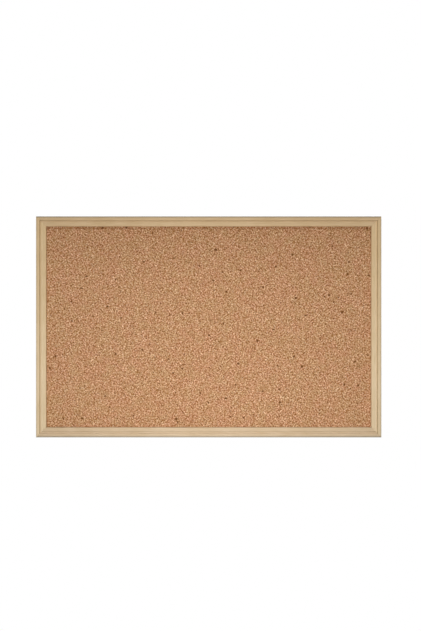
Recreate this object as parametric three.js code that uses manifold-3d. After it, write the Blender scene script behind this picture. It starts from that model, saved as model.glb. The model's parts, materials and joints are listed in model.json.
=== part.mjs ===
// Cork board: a mitred wooden frame round a cork-faced panel, with two hinged hanging rings behind it.
// Millimetres, +Z up, +X to the right as seen from the front. The front faces -Y, the wall is at +Y.
// The origin is the middle of the top rail's back face, where the hung board meets the wall.
import * as THREE from "three";
import { mergeVertices } from "three/addons/utils/BufferGeometryUtils.js";
import Module from "manifold-3d";

const wasm = await Module();
wasm.setup();

// Overall size and the panel's layers
const boardWidth = 550;
const boardHeight = 352;
const corkThickness = 2;
const coreThickness = 4;
const backingThickness = 0.5;
const glueLine = 0.1;
const panelClearance = 0.5;
const backRecess = 2.2;
const seatGap = 0.1;

// The moulding that the four rails are cut from
const landWidth = 11.5;
const lipReach = 4.5;
const lipThickness = 6;
const outerLipWidth = 6.5;
const channelWidth = 2.4;
const channelDepth = 1.5;
const innerFlatDrop = 0.7;
const outerRound = 1.5;
const innerRound = 0.9;
const channelRound = 0.35;
const backRound = 0.5;
const mitreGap = 0.1;

// Corner nails, driven across each mitre from behind
const nailLeg = 4.5;
const nailCurl = 0.8;
const nailThickness = 0.7;
const nailDepth = 7;
const nailSunk = 0.3;

// Framer's points, driven into the rebate over the panel's back
const pointLength = 14.5;
const pointWidth = 5.6;
const pointThickness = 0.5;
const pointBite = 6.5;
const pointTip = 2.4;
const pointEndRound = 1.2;
const pointsOnLongRail = 4;
const pointBelowHanger = 30;

// Hanger: folded strap, wire ring and pan-head screw
const hangerDrop = 60;
const strapWidth = 8;
const strapThickness = 0.8;
const strapFoldGap = 0.1;
const strapBendRadius = 0.9;
const wireRadius = 0.75;
const ringCorner = 1.5;
const ringSideStraight = 1.5;
const ringSideGap = 0.25;
const ringButtGap = 0.3;
const ringEdgeGap = 0.5;
const screwDrop = 9.5;
const strapBelowScrew = 1.5;
const screwHeadRadius = 2.75;
const screwHeadHeight = 1.6;
const screwHeadRound = 0.9;
const screwShankRadius = 1.2;
const screwLength = 12;
const screwTip = 3;
const recessReach = 1.6;
const recessWidth = 0.7;
const recessDepth = 0.9;

// Fits and cuts
const fitGap = 0.3;
const overrun = 2;

// Facets round curves
const roundSteps = 3;
const eyeSteps = 10;
const screwSides = 24;
const wireSides = 10;
const wireSteps = 72;

// Worked out from the sizes above
const rebateDepth =
  seatGap + corkThickness + glueLine + coreThickness + glueLine + backingThickness + backRecess;
const railDepth = rebateDepth + lipThickness;
const railFace = landWidth + lipReach;
const topEdge = landWidth / 2;
const middleHeight = topEdge - boardHeight / 2;
const panelWidth = boardWidth - 2 * (landWidth + panelClearance);
const panelHeight = boardHeight - 2 * (landWidth + panelClearance);
const corkFront = seatGap - rebateDepth;
const coreFront = corkFront + corkThickness + glueLine;
const backingFront = coreFront + coreThickness + glueLine;
const panelBack = backingFront + backingThickness;
const nailApex = (landWidth + nailLeg) / 2;
const pointFront = panelBack + seatGap;
const pointTipPlace = landWidth - pointBite;
const ringBarHalf = strapWidth / 2 + ringSideGap;
const ringCrownRadius = ringBarHalf + ringCorner;
const ringSideTop = ringCorner + ringSideStraight;
const ringHeight = ringSideTop + ringCrownRadius;
const eyeBore = wireRadius + fitGap;
const eyeOuter = eyeBore + strapThickness;
const eyeHeight = seatGap + eyeOuter;
const ringLean = Math.asin((eyeHeight - wireRadius - fitGap) / ringHeight);
const hangerInset = ringCrownRadius + wireRadius + ringEdgeGap;
const strapTop = 2 * strapThickness + strapFoldGap + seatGap;
const quarterTurn = Math.PI / 2;

// Colours, as sRGB hex
const palewood = 0xd1b690;
const corkBrown = 0xba8c66;
const fibreBrown = 0x9a7650;
const kraftBrown = 0xb58f64;
const zincGrey = 0xb4b7ba;

function finish(color, roughness, metalness) {
  return new THREE.MeshStandardMaterial({ color, roughness, metalness, flatShading: true });
}

function solidOf(geometry) {
  geometry.deleteAttribute("normal");
  geometry.deleteAttribute("uv");
  const merged = mergeVertices(geometry);
  const vertProperties = Float32Array.from(merged.attributes.position.array);
  const triVerts = Uint32Array.from(merged.index.array);
  return new wasm.Manifold(new wasm.Mesh({ numProp: 3, vertProperties, triVerts }));
}

function geometryOf(solid) {
  const mesh = solid.getMesh();
  const geometry = new THREE.BufferGeometry();
  geometry.setAttribute("position", new THREE.BufferAttribute(mesh.vertProperties, 3));
  geometry.setIndex(new THREE.BufferAttribute(mesh.triVerts, 1));
  geometry.computeVertexNormals();
  return geometry;
}

// A shape drawn in the plane of the board (x across, y up), given its thickness from back to front
function plate(shape, front, back, curveSegments = roundSteps) {
  const depth = back - front;
  const geometry = new THREE.ExtrudeGeometry(shape, { depth, steps: 1, bevelEnabled: false, curveSegments });
  geometry.rotateX(quarterTurn);
  geometry.translate(0, back, 0);
  return geometry;
}

// The moulding's section: x runs in from the outer edge, y from the front (negative) to the back at zero
function mouldingSection() {
  const front = -railDepth;
  const flat = front + innerFlatDrop;
  const channelFloor = front + channelDepth;
  const channelEnd = outerLipWidth + channelWidth;
  const section = new THREE.Shape();
  section.moveTo(backRound, 0);
  section.lineTo(landWidth, 0);
  section.lineTo(landWidth, -rebateDepth);
  section.lineTo(railFace, -rebateDepth);
  section.absarc(railFace - innerRound, flat + innerRound, innerRound, 0, -quarterTurn, true);
  section.absarc(channelEnd + channelRound, flat + channelRound, channelRound, -quarterTurn, -Math.PI, true);
  section.lineTo(channelEnd, channelFloor);
  section.lineTo(outerLipWidth, channelFloor);
  section.absarc(outerLipWidth - channelRound, front + channelRound, channelRound, 0, -quarterTurn, true);
  section.absarc(outerRound, front + outerRound, outerRound, -quarterTurn, -Math.PI, true);
  section.absarc(backRound, -backRound, backRound, Math.PI, quarterTurn, true);
  return section;
}

// A length of moulding with both ends cut at 45 degrees: each point of an end slides in as far as it is deep
function mitredStrip(run) {
  const extent = { depth: run, steps: 1, bevelEnabled: false, curveSegments: roundSteps };
  const strip = new THREE.ExtrudeGeometry(mouldingSection(), extent);
  const places = strip.attributes.position;
  for (let i = 0; i < places.count; i += 1) {
    const end = run / 2 - places.getX(i) - mitreGap / Math.SQRT2;
    places.setZ(i, places.getZ(i) > 0 ? end : -end);
  }
  return strip;
}

// The outline of a band of even width that follows a bent line
function bandOutline(line, halfWidth) {
  const last = line.length - 1;
  const along = (i) => line[i + 1].clone().sub(line[i]).normalize();
  const left = [];
  const right = [];
  line.forEach((place, i) => {
    const before = along(Math.max(i - 1, 0));
    const after = along(Math.min(i, last - 1));
    const middle = before.clone().add(after).normalize();
    const reach = halfWidth / middle.dot(before);
    const across = new THREE.Vector2(-middle.y, middle.x).multiplyScalar(reach);
    left.push(place.clone().add(across));
    right.unshift(place.clone().sub(across));
  });
  return new THREE.Shape([...left, ...right]);
}

// A corner nail seen from behind, on a corner whose outer point is at zero and whose rails run +x and -y
function nailOutline(gap, flip = 1) {
  const tip = nailApex - nailLeg;
  const curl = nailCurl + gap;
  const line = [
    new THREE.Vector2(tip - curl, -nailApex - curl),
    new THREE.Vector2(tip, -nailApex),
    new THREE.Vector2(nailApex, -nailApex),
    new THREE.Vector2(nailApex, -tip),
    new THREE.Vector2(nailApex + curl, curl - tip),
  ];
  line.forEach((place) => {
    place.y *= flip;
  });
  return bandOutline(line, nailThickness / 2 + gap);
}

// A framer's point seen from behind, pointing at the outer edge of its rail
function pointOutline(gap) {
  const tip = pointTipPlace - gap;
  const half = pointWidth / 2 + gap;
  const end = pointTipPlace + pointLength;
  const outline = new THREE.Shape();
  outline.moveTo(tip, 0);
  outline.lineTo(tip + pointTip, -half);
  outline.absarc(end - pointEndRound, pointEndRound - half, pointEndRound, -quarterTurn, 0, false);
  outline.absarc(end - pointEndRound, half - pointEndRound, pointEndRound, 0, quarterTurn, false);
  outline.lineTo(tip + pointTip, half);
  return outline;
}

// A rail's pieces of wood taken away: nail slots at both ends, point slots along the rebate, screw holes
function railSolid(run, pointPlaces, screwPlaces) {
  let rail = solidOf(mitredStrip(run));
  for (const flip of [1, -1]) {
    const slot = plate(nailOutline(fitGap, flip), -nailSunk - nailDepth - fitGap, overrun);
    slot.translate(0, 0, (flip * run) / 2);
    rail = rail.subtract(solidOf(slot));
  }
  for (const place of pointPlaces) {
    const slot = plate(pointOutline(fitGap), pointFront - fitGap, pointFront + pointThickness + fitGap);
    slot.translate(0, 0, place);
    rail = rail.subtract(solidOf(slot));
  }
  for (const place of screwPlaces) {
    const depth = screwLength + fitGap;
    const radius = screwShankRadius + fitGap;
    const hole = new THREE.CylinderGeometry(radius, radius, depth + overrun, screwSides);
    hole.translate(hangerInset, (overrun - depth) / 2 + strapTop, place);
    rail = rail.subtract(solidOf(hole));
  }
  return geometryOf(rail);
}

function layer(front, thickness) {
  const sheet = new THREE.BoxGeometry(panelWidth, thickness, panelHeight);
  sheet.translate(0, front + thickness / 2, middleHeight);
  return sheet;
}

// A steel strip folded round the ring's bar: up the wood, round the eye and back down on itself.
// The section is drawn with x away from the wood and y up, centred on the hinge line.
function strapSection() {
  const half = strapThickness / 2;
  const eye = eyeBore + half;
  const end = screwDrop + strapBelowScrew + strapWidth / 2;
  const topLeaf = strapThickness + strapFoldGap - eye;
  const bendX = topLeaf + strapBendRadius;
  const bendY = -Math.sqrt((eye + strapBendRadius) ** 2 - bendX ** 2);
  const meet = Math.atan2(bendY, bendX);
  const section = new THREE.Shape();
  section.moveTo(-eye - half, -end);
  section.lineTo(-eye - half, 0);
  section.absarc(0, 0, eye + half, Math.PI, meet, true);
  section.absarc(bendX, bendY, strapBendRadius - half, meet + Math.PI, Math.PI, false);
  section.lineTo(topLeaf + half, -end);
  section.lineTo(topLeaf - half, -end);
  section.absarc(bendX, bendY, strapBendRadius + half, Math.PI, meet + Math.PI, true);
  section.absarc(0, 0, eye - half, meet, Math.PI, false);
  section.lineTo(half - eye, -end);
  return section;
}

// The strap's outline from behind: straight sides and a round end below the screw
function strapOutline() {
  const half = strapWidth / 2;
  const endCentre = -screwDrop - strapBelowScrew;
  const outline = new THREE.Shape();
  outline.moveTo(half, eyeOuter + overrun);
  outline.lineTo(-half, eyeOuter + overrun);
  outline.absarc(0, endCentre, half, Math.PI, 2 * Math.PI, false);
  return outline;
}

function strapGeometry() {
  const extent = { depth: strapWidth + overrun, steps: 1, bevelEnabled: false, curveSegments: eyeSteps };
  const strip = new THREE.ExtrudeGeometry(strapSection(), extent);
  strip.translate(0, 0, -(strapWidth + overrun) / 2);
  strip.rotateY(quarterTurn);
  strip.rotateX(quarterTurn);
  const outline = plate(strapOutline(), -eyeOuter - overrun, eyeOuter + overrun, eyeSteps);
  const holeRadius = screwShankRadius + fitGap;
  const hole = new THREE.CylinderGeometry(holeRadius, holeRadius, 2 * (eyeOuter + overrun), screwSides);
  hole.translate(0, 0, -screwDrop);
  return geometryOf(solidOf(strip).intersect(solidOf(outline)).subtract(solidOf(hole)));
}

// A flat wire path read as a curve in space, with the path's y as height
class UprightWire extends THREE.Curve {
  constructor(flat) {
    super();
    this.flat = flat;
  }

  getPoint(share, target = new THREE.Vector3()) {
    const place = this.flat.getPoint(share);
    return target.set(place.x, 0, place.y);
  }
}

// The D ring: a straight bar in the eye, small corners, short sides and a round crown.
// The wire's two ends meet inside the eye, as on a ring bent from straight wire.
function ringGeometry() {
  const flat = new THREE.Path();
  flat.moveTo(ringButtGap / 2, 0);
  flat.lineTo(ringBarHalf, 0);
  flat.absarc(ringBarHalf, ringCorner, ringCorner, -quarterTurn, 0, false);
  flat.absarc(0, ringSideTop, ringCrownRadius, 0, Math.PI, false);
  flat.absarc(-ringBarHalf, ringCorner, ringCorner, Math.PI, 3 * quarterTurn, false);
  flat.lineTo(-ringButtGap / 2, 0);
  const section = new THREE.Shape();
  section.absarc(0, 0, wireRadius, 0, 2 * Math.PI, false);
  const extrudePath = new UprightWire(flat);
  return new THREE.ExtrudeGeometry(section, { steps: wireSteps, curveSegments: wireSides / 2, extrudePath });
}

// A pan-head wood screw with a cross recess, its head standing on zero
function screwGeometry() {
  const headTop = screwHeadHeight;
  const crown = new THREE.Path();
  crown.moveTo(0, -screwLength);
  crown.lineTo(screwShankRadius, screwTip - screwLength);
  crown.lineTo(screwShankRadius, 0);
  crown.lineTo(screwHeadRadius, 0);
  crown.absarc(screwHeadRadius - screwHeadRound, headTop - screwHeadRound, screwHeadRound, 0, quarterTurn, false);
  crown.lineTo(0, headTop);
  const body = new THREE.LatheGeometry(crown.getPoints(roundSteps), screwSides);
  const arm = recessWidth / 2;
  const cross = [];
  for (let turn = 0; turn < 4; turn += 1) {
    for (const [x, y] of [[arm, arm], [arm, recessReach], [-arm, recessReach]]) {
      cross.push(new THREE.Vector2(x, y).rotateAround(new THREE.Vector2(), turn * quarterTurn));
    }
  }
  const recess = plate(new THREE.Shape(cross), headTop - recessDepth, headTop + overrun);
  return geometryOf(solidOf(body).subtract(solidOf(recess)));
}

const board = new THREE.Group();

function addPiece(parent, name, geometry, material) {
  const piece = new THREE.Mesh(geometry, material);
  piece.name = name;
  parent.add(piece);
  return piece;
}

// Rails: each group stands at its rail's outer edge with x running in and z along the rail.
// The points are numbered from the top on the sides and from the left on the long rails.
const longRailPoints = [];
for (let i = 0; i < pointsOnLongRail; i += 1) {
  longRailPoints.push(boardWidth * ((i + 1 / 2) / pointsOnLongRail - 1 / 2));
}
const sideRailPoint = boardHeight / 2 - hangerDrop - pointBelowHanger;
const sideRailPoints = [-sideRailPoint, sideRailPoint];
const screwPlace = boardHeight / 2 - hangerDrop - screwDrop;
const halfTurn = 2 * quarterTurn;
const bottomEdge = topEdge - boardHeight;
const rails = [
  { side: "left", turn: 0, x: -boardWidth / 2, z: middleHeight, sense: -1, screws: [screwPlace] },
  { side: "top", turn: quarterTurn, x: 0, z: topEdge, sense: 1, screws: [] },
  { side: "right", turn: halfTurn, x: boardWidth / 2, z: middleHeight, sense: 1, screws: [-screwPlace] },
  { side: "bottom", turn: -quarterTurn, x: 0, z: bottomEdge, sense: -1, screws: [] },
];
const pointPlate = plate(pointOutline(0), pointFront, pointFront + pointThickness);
for (const { side, turn, x, z, sense, screws } of rails) {
  const long = side === "top" || side === "bottom";
  const run = long ? boardWidth : boardHeight;
  const points = (long ? longRailPoints : sideRailPoints).map((place) => sense * place);
  const rail = new THREE.Group();
  rail.position.set(x, 0, z);
  rail.rotation.y = turn;
  board.add(rail);
  addPiece(rail, `frame_rail_${side}`, railSolid(run, points, screws), finish(palewood, 0.6, 0));
  points.forEach((place, i) => {
    const point = addPiece(rail, `panel_point_${side}_${i + 1}`, pointPlate, finish(zincGrey, 0.4, 1));
    point.position.z = place;
  });
}

// The panel's three layers
addPiece(board, "cork_sheet", layer(corkFront, corkThickness), finish(corkBrown, 0.95, 0));
addPiece(board, "fibreboard_core", layer(coreFront, coreThickness), finish(fibreBrown, 0.9, 0));
addPiece(board, "backing_sheet", layer(backingFront, backingThickness), finish(kraftBrown, 0.85, 0));

// Corner nails: one shape turned to each corner
const nailPlate = plate(nailOutline(0), -nailSunk - nailDepth, -nailSunk);
const corners = [
  { corner: "top_left", turn: 0, x: -boardWidth / 2, z: topEdge },
  { corner: "top_right", turn: quarterTurn, x: boardWidth / 2, z: topEdge },
  { corner: "bottom_right", turn: halfTurn, x: boardWidth / 2, z: bottomEdge },
  { corner: "bottom_left", turn: -quarterTurn, x: -boardWidth / 2, z: bottomEdge },
];
for (const { corner, turn, x, z } of corners) {
  const nail = addPiece(board, `corner_nail_${corner}`, nailPlate, finish(zincGrey, 0.4, 1));
  nail.position.set(x, 0, z);
  nail.rotation.y = turn;
}

// Hangers: each group stands on its hinge line, and the ring leans back until it rests on the rail
for (const [side, x] of [["left", hangerInset - boardWidth / 2], ["right", boardWidth / 2 - hangerInset]]) {
  const hanger = new THREE.Group();
  hanger.position.set(x, eyeHeight, topEdge - hangerDrop);
  board.add(hanger);
  addPiece(hanger, `hanger_strap_${side}`, strapGeometry(), finish(zincGrey, 0.35, 1));
  const ring = addPiece(hanger, `hanger_ring_${side}`, ringGeometry(), finish(zincGrey, 0.3, 1));
  ring.rotation.x = ringLean;
  const screw = addPiece(hanger, `hanger_screw_${side}`, screwGeometry(), finish(zincGrey, 0.35, 1));
  screw.position.set(0, strapTop + seatGap - eyeHeight, -screwDrop);
}

export default board;
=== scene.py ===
# %% [markdown]
# # A cork board, seen square from the front
#
# The real thing is a sheet of pressed cork on fibreboard, held in a mitred frame of pale softwood and hung
# by two wire rings. The exact frame is loaded first, and every piece made here takes its place and size
# from it. Each step says what the piece is on a real board and why it is made the way it is.

import json
import math
from functools import partial

import bmesh
import bpy
from bmesh.types import BMEdge, BMFace, BMVert
from mathutils import Matrix, Vector, noise


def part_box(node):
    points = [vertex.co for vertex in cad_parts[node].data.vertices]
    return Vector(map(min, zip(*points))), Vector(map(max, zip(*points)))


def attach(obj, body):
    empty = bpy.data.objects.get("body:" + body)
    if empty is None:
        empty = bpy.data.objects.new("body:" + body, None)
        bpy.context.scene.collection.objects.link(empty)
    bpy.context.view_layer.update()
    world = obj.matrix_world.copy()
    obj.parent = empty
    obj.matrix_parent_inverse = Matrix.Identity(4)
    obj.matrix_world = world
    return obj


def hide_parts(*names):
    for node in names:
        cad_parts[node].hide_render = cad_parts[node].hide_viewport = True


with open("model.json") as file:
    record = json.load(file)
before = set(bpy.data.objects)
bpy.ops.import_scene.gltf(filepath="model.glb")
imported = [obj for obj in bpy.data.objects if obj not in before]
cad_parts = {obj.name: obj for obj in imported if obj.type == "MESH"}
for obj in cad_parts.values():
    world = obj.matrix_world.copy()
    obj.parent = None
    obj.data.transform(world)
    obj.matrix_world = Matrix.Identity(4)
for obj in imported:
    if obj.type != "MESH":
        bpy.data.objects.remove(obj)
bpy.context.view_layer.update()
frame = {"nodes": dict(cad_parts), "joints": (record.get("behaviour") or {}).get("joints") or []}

# %% [markdown]
# ## Sizes
#
# Blender works in metres, and joiners in millimetres, so a small constant turns one into the other. The
# board's edges come from the loaded rails. What a rail's box can't tell, such as the width of its channel,
# is named where it is first used.

# %% Read the board's sizes from its rails
MM = 0.001
left_low, left_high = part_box("frame_rail_left")
board_left = left_low.x
board_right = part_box("frame_rail_right")[1].x
board_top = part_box("frame_rail_top")[1].z
board_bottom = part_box("frame_rail_bottom")[0].z
board_front = left_low.y
board_width = board_right - board_left
board_height = board_top - board_bottom
board_middle = (board_top + board_bottom) / 2
face_width = left_high.x - left_low.x
cork_low, cork_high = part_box("cork_sheet")
print(f"board {board_width / MM:.1f} by {board_height / MM:.1f} mm, face {face_width / MM:.1f} mm")

# %% [markdown]
# ## Camera
#
# The photo shows the board square on, with no converging edges, so the camera stands level and looks
# straight at it. Sizes in the photo are in its own pixels: the board's width gives the size of a pixel, and
# its centre the camera's place. From 1.6 m away the inner walls of the side rails show as the thin dark
# lines that the photo has there.

# %% Place the camera
PHOTO_WIDTH = 421
PHOTO_HEIGHT = 631
BOARD_PIXELS = 345.6
BOARD_CENTRE_X = 208.7
BOARD_CENTRE_Y = 326.9
CAMERA_DISTANCE = 1.6
SENSOR_MM = 36.0

pixel = board_width / BOARD_PIXELS
camera = bpy.data.objects.new("camera", bpy.data.cameras.new("camera"))
camera.data.sensor_width = SENSOR_MM
camera.data.lens = SENSOR_MM * CAMERA_DISTANCE / (PHOTO_HEIGHT * pixel)
camera_x = (PHOTO_WIDTH / 2 - BOARD_CENTRE_X) * pixel
camera_z = board_middle + (BOARD_CENTRE_Y - PHOTO_HEIGHT / 2) * pixel
camera.location = (camera_x, board_front - CAMERA_DISTANCE, camera_z)
camera.rotation_euler = (math.radians(90), 0, 0)
bpy.context.collection.objects.link(camera)
bpy.context.scene.camera = camera
print(f"lens {camera.data.lens:.1f} mm, a pixel is {pixel / MM:.3f} mm")

# %% [markdown]
# ## Nodes and colours
#
# Materials and the world are graphs of nodes. One small function adds a node with its settings and links.
# Another fills or links sockets, and serves again for the shader once a pattern is ready. Most nodes have
# one output in use, and a node given as a value stands for that one, so a graph reads as a plain chain.
# Colours are written as sRGB hex values, as in a paint program, and turned into the linear values that
# light needs.


# %% Node helpers
def connect(node, inputs):
    """Sets a node's sockets to values, or links them to an output or to a node's first one in use."""
    for socket, value in inputs.items():
        if isinstance(value, bpy.types.Node):
            value = next(output for output in value.outputs if output.enabled)
        if isinstance(value, bpy.types.NodeSocket):
            node.id_data.links.new(value, node.inputs[socket])
        else:
            node.inputs[socket].default_value = value


def add_node(tree, kind, inputs=None, stops=(), **settings):
    """Adds a node. kind is its type, without the ShaderNode that most types start with."""
    node = tree.nodes.new(kind if "Node" in kind else f"ShaderNode{kind}")
    for name, value in settings.items():
        setattr(node, name, value)
    connect(node, inputs or {})
    if stops:
        # A new ramp has two marks. One is used for the first stop, and the other is taken out.
        marks = node.color_ramp.elements
        marks.remove(marks[-1])
        marks[0].position, marks[0].color = stops[0]
        for place, colour in stops[1:]:
            marks.new(place).color = colour
    return node


def empty_graph(owner):
    """Empties the graph of a material or the world, and gives back add_node bound to it."""
    owner.use_nodes = True
    owner.node_tree.nodes.clear()
    return partial(add_node, owner.node_tree)


# The Mix node has its own sockets A and B for values and for colours. These are their numbers.
VALUE_A = 2
VALUE_B = 3
MIX_A = 6
MIX_B = 7
# Settings used more than once: blend two colours, multiply them as a tint does, and fade gently
BLEND = {"data_type": "RGBA"}
TINT = {"data_type": "RGBA", "blend_type": "MULTIPLY"}
SMOOTH = {"interpolation_type": "SMOOTHSTEP"}
print("the Mix node blends colours from sockets", MIX_A, "and", MIX_B)


# %% Colour helper
def linear(hex_colour):
    """An sRGB colour such as '#d1b690' as linear red, green, blue and alpha, by the sRGB standard's curve."""
    parts = [int(hex_colour[i : i + 2], 16) / 255 for i in (1, 3, 5)]
    return (*(c / 12.92 if c <= 0.04045 else ((c + 0.055) / 1.055) ** 2.4 for c in parts), 1.0)


WHITE = linear("#ffffff")
print("pale wood is", [round(c, 3) for c in linear("#dbc6a5")])

# %% [markdown]
# ## Light
#
# The photo's small shadows hint at where its lamps stand. The darkest line lies under the top rail, so the
# main light comes from above. Both side channels are darkest at their outer side, so some light comes from
# the left and from the right. The cork is brightest low in the middle, so one soft lamp is near and in
# front of that place. Three more lamps light the board's back and sides, which the photo can't tell about.
# The background is pure white, so the world is white where the camera or a reflection looks at it, and a
# plain grey where it only lights the object.

# %% World
AMBIENT = 0.09

world = bpy.data.worlds.new("studio")
add = empty_graph(world)
rays = add("LightPath").outputs
seen = add("Math", {0: rays["Is Camera Ray"], 1: rays["Is Glossy Ray"]}, operation="MAXIMUM")
seen = add("Math", {0: seen, 1: rays["Is Transmission Ray"]}, operation="MAXIMUM")
soft_grey = add("Background", {"Color": WHITE, "Strength": AMBIENT})
white = add("Background", {"Color": WHITE, "Strength": 1.0})
mixed = add("MixShader", {0: seen, 1: soft_grey, 2: white})
add("OutputWorld", {"Surface": mixed})
bpy.context.scene.world = world
bpy.context.scene.view_settings.view_transform = "Standard"
print("ambient light", AMBIENT)

# %% Lamps
# Place, width and height in metres, and power in watts
LAMPS = {
    "near_front_lamp": ((0.0, -0.47, -0.33), 0.5, 0.12, 1.4),
    "high_lamp": ((0.0, -2.2, 1.9), 1.6, 0.4, 29.0),
    "left_lamp": ((-1.2, -2.3, -0.45), 0.4, 1.0, 8.0),
    "right_lamp": ((1.2, -2.3, -0.45), 0.4, 1.0, 8.0),
    "back_lamp": ((0.5, 1.2, 0.7), 1.2, 0.8, 20.0),
    "left_side_lamp": ((-1.6, 0.4, 0.0), 0.5, 1.0, 8.0),
    "right_side_lamp": ((1.6, 0.4, 0.0), 0.5, 1.0, 6.0),
}
# Each is a rectangle aimed at the middle of the board, and the camera doesn't see it
for name, (place, width, height, watts) in LAMPS.items():
    lamp = bpy.data.objects.new(name, bpy.data.lights.new(name, "AREA"))
    lamp.data.shape = "RECTANGLE"
    lamp.data.size = width
    lamp.data.size_y = height
    lamp.data.energy = watts
    lamp.location = place
    aim = Vector((0, 0, board_middle)) - Vector(place)
    lamp.rotation_euler = aim.to_track_quat("-Z", "Y").to_euler()
    lamp.visible_camera = False
    bpy.context.collection.objects.link(lamp)
print("lamps:", list(LAMPS))

# %% [markdown]
# ## Floor
#
# A board hangs on a wall at about this height above the floor. No wall is made, because it would hide the
# board's back. The floor is pale and keeps the board's shadow, and fades to white away from the board, as a
# studio sweep does. It is the first shape made from a bmesh, Blender's editable mesh, so the function that
# makes an object of one is written here.

# %% Floor
FLOOR_HEIGHT = -1.3
FLOOR_SIZE = 8.0


def new_object(name, shape):
    """An object in the scene made from a bmesh, which is used up."""
    mesh = bpy.data.meshes.new(name)
    shape.to_mesh(mesh)
    shape.free()
    made = bpy.data.objects.new(name, mesh)
    bpy.context.collection.objects.link(made)
    return made


def move(shape, way):
    """Moves a whole shape."""
    bmesh.ops.translate(shape, verts=shape.verts, vec=way)


sweep = bmesh.new()
bmesh.ops.create_grid(sweep, x_segments=1, y_segments=1, size=FLOOR_SIZE / 2)
move(sweep, (0, 0, FLOOR_HEIGHT))
floor = new_object("floor", sweep)
print(f"floor {abs(FLOOR_HEIGHT - board_bottom):.2f} m below the board")

# %% Floor paint
FADE_START = 0.8
FADE_END = 1.5

floor_paint = bpy.data.materials.new("pale_matt_floor_paint")
add = empty_graph(floor_paint)
place = add("TexCoord").outputs["Object"]
level = add("VectorMath", {0: place, 1: (1, 1, 0)}, operation="MULTIPLY")
distance = add("VectorMath", {0: level}, operation="LENGTH")
fade = add("MapRange", {"Value": distance, "From Min": FADE_START, "From Max": FADE_END}, **SMOOTH)
rays = add("LightPath").outputs
for_eye = add("Math", {0: rays["Is Camera Ray"], 1: fade}, operation="MULTIPLY")
paint = add("BsdfPrincipled", {"Base Color": linear("#ebe9e4"), "Roughness": 0.8})
glow = add("Emission", {"Color": WHITE, "Strength": 1.0})
mixed = add("MixShader", {0: for_eye, 1: paint, 2: glow})
add("OutputMaterial", {"Surface": mixed})
floor.data.materials.append(floor_paint)
print(f"the floor is white from {FADE_END} m on")

# %% [markdown]
# ## Starting a material
#
# Every finish below starts alike: a Principled shader with its constant values on its own sockets, and the
# piece's own coordinates in metres, so that a pattern has its real size and moves with the piece. Most
# patterns are noises. A noise keeps close to its middle, so its useful span is spread out with a Map Range
# node. A noise can also push coordinates about, so that what is drawn at them doesn't run straight.


# %% Start a material
def start_material(name, **sockets):
    """(material, the function that adds its nodes, its shader, the piece's own coordinates)."""
    material = bpy.data.materials.new(name)
    add = empty_graph(material)
    shader = add("BsdfPrincipled", sockets)
    add("OutputMaterial", {"Surface": shader})
    return material, add, shader, add("TexCoord").outputs["Object"]


def pushed_about(add, place, size, reach, detail):
    """Coordinates that a noise of a size has pushed about by up to a reach."""
    push = add("TexNoise", {"Vector": place, "Scale": 1 / size, "Detail": detail}).outputs["Color"]
    push = add("VectorMath", {0: push, "Scale": reach}, operation="SCALE")
    return add("VectorMath", {0: place, 1: push}, operation="ADD")


NOISE_SPAN = {"From Min": 0.3, "From Max": 0.7}
print("a noise is used from", NOISE_SPAN["From Min"], "to", NOISE_SPAN["From Max"])

# %% [markdown]
# ## Sanded softwood
#
# The rails are run from a pale softwood such as pine, sanded and sealed with a thin clear coat: low
# contrast, a satin sheen at most, fine growth rings that run the length of each rail, short darker pores
# and slow patches where the sapwood changes. Each rail is cut from another place of the plank, so each gets
# its own shift, and the side rails have the pattern turned so that the grain still runs along them.
# The rails are also tinted a little darker and yellower towards the top, as painted shade.

# %% Wood values
RING_WIDTH = 1.5 * MM
RING_WANDER = 2.4 * MM
WANDER_LENGTH = 60 * MM
STREAK_WIDTH = 0.9 * MM
PORE_WIDTH = 0.35 * MM
PATCH_SIZE = 45 * MM
GRAIN_STRETCH_SHARE = 0.05
GRAIN_DEPTH = 0.06 * MM
WOOD_PALE = linear("#dbc6a5")
WOOD_DARK = linear("#c4ab84")
PORE_BROWN = linear("#9b7c50")
# Painted shade: the rails are tinted darker and yellower towards the top
TOP_SHADE_TINT = linear("#f9f0e0")
# The top and bottom rails come from slightly darker planks than the side rails
PLANK_TINTS = {"top": "#f6f4f6", "bottom": "#f2edec", "left": "#ffffff", "right": "#ffffff"}
# How far each thing moves the wood from its pale tone towards its dark one. Late wood fills only a small
# part of a ring, so the rings' wave is raised to a power.
BASE_TONE = 0.1
LATE_WOOD_TONE = 0.3
LATE_WOOD_POWER = 3.0
STREAK_TONE = 0.5
PATCH_TONES = {"To Min": -0.08, "To Max": 0.22}
# Only the highest spots of the pores' noise are pores
PORE_SPAN = {"From Min": 0.66, "From Max": 0.74}
PORE_SHARE = 0.35
SATIN = {"To Min": 0.48, "To Max": 0.62}
# The Wave texture turns by 20 radians for each unit of distance times scale
WAVE_RADIANS = 20
RING_SCALE = 2 * math.pi / (WAVE_RADIANS * RING_WIDTH)
print(f"growth rings every {RING_WIDTH / MM} mm")

# %% [markdown]
# A rail isn't one tone across: bands of painted shade and painted highlight run along it. Painted shade
# deepens the shadow in one corner of the router's channel: the outer corner, and on the bottom rail the inner
# one. On the top rail a painted shadow also runs along the inner edge. The outer round edge gets a greyish
# painted shade, and on the side rails a painted highlight lies along the channel's inner arris. Each rail's
# mesh carries an attribute, the distance in from the board's outer edge, which places these bands.

# %% Bands of painted shade and highlight
# Painted shade that deepens a channel corner's shadow, and a painted shadow along the top rail's inner edge
SHADOW_BROWN = "#7d5f33"
# Greyish painted shade where the outer round edge turns away from the light
EDGE_SHADE_GREY = "#8a8878"
# A painted highlight along the inner arris of the side rails' channels
HIGHLIGHT_PALE = "#f6e4c4"
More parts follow.
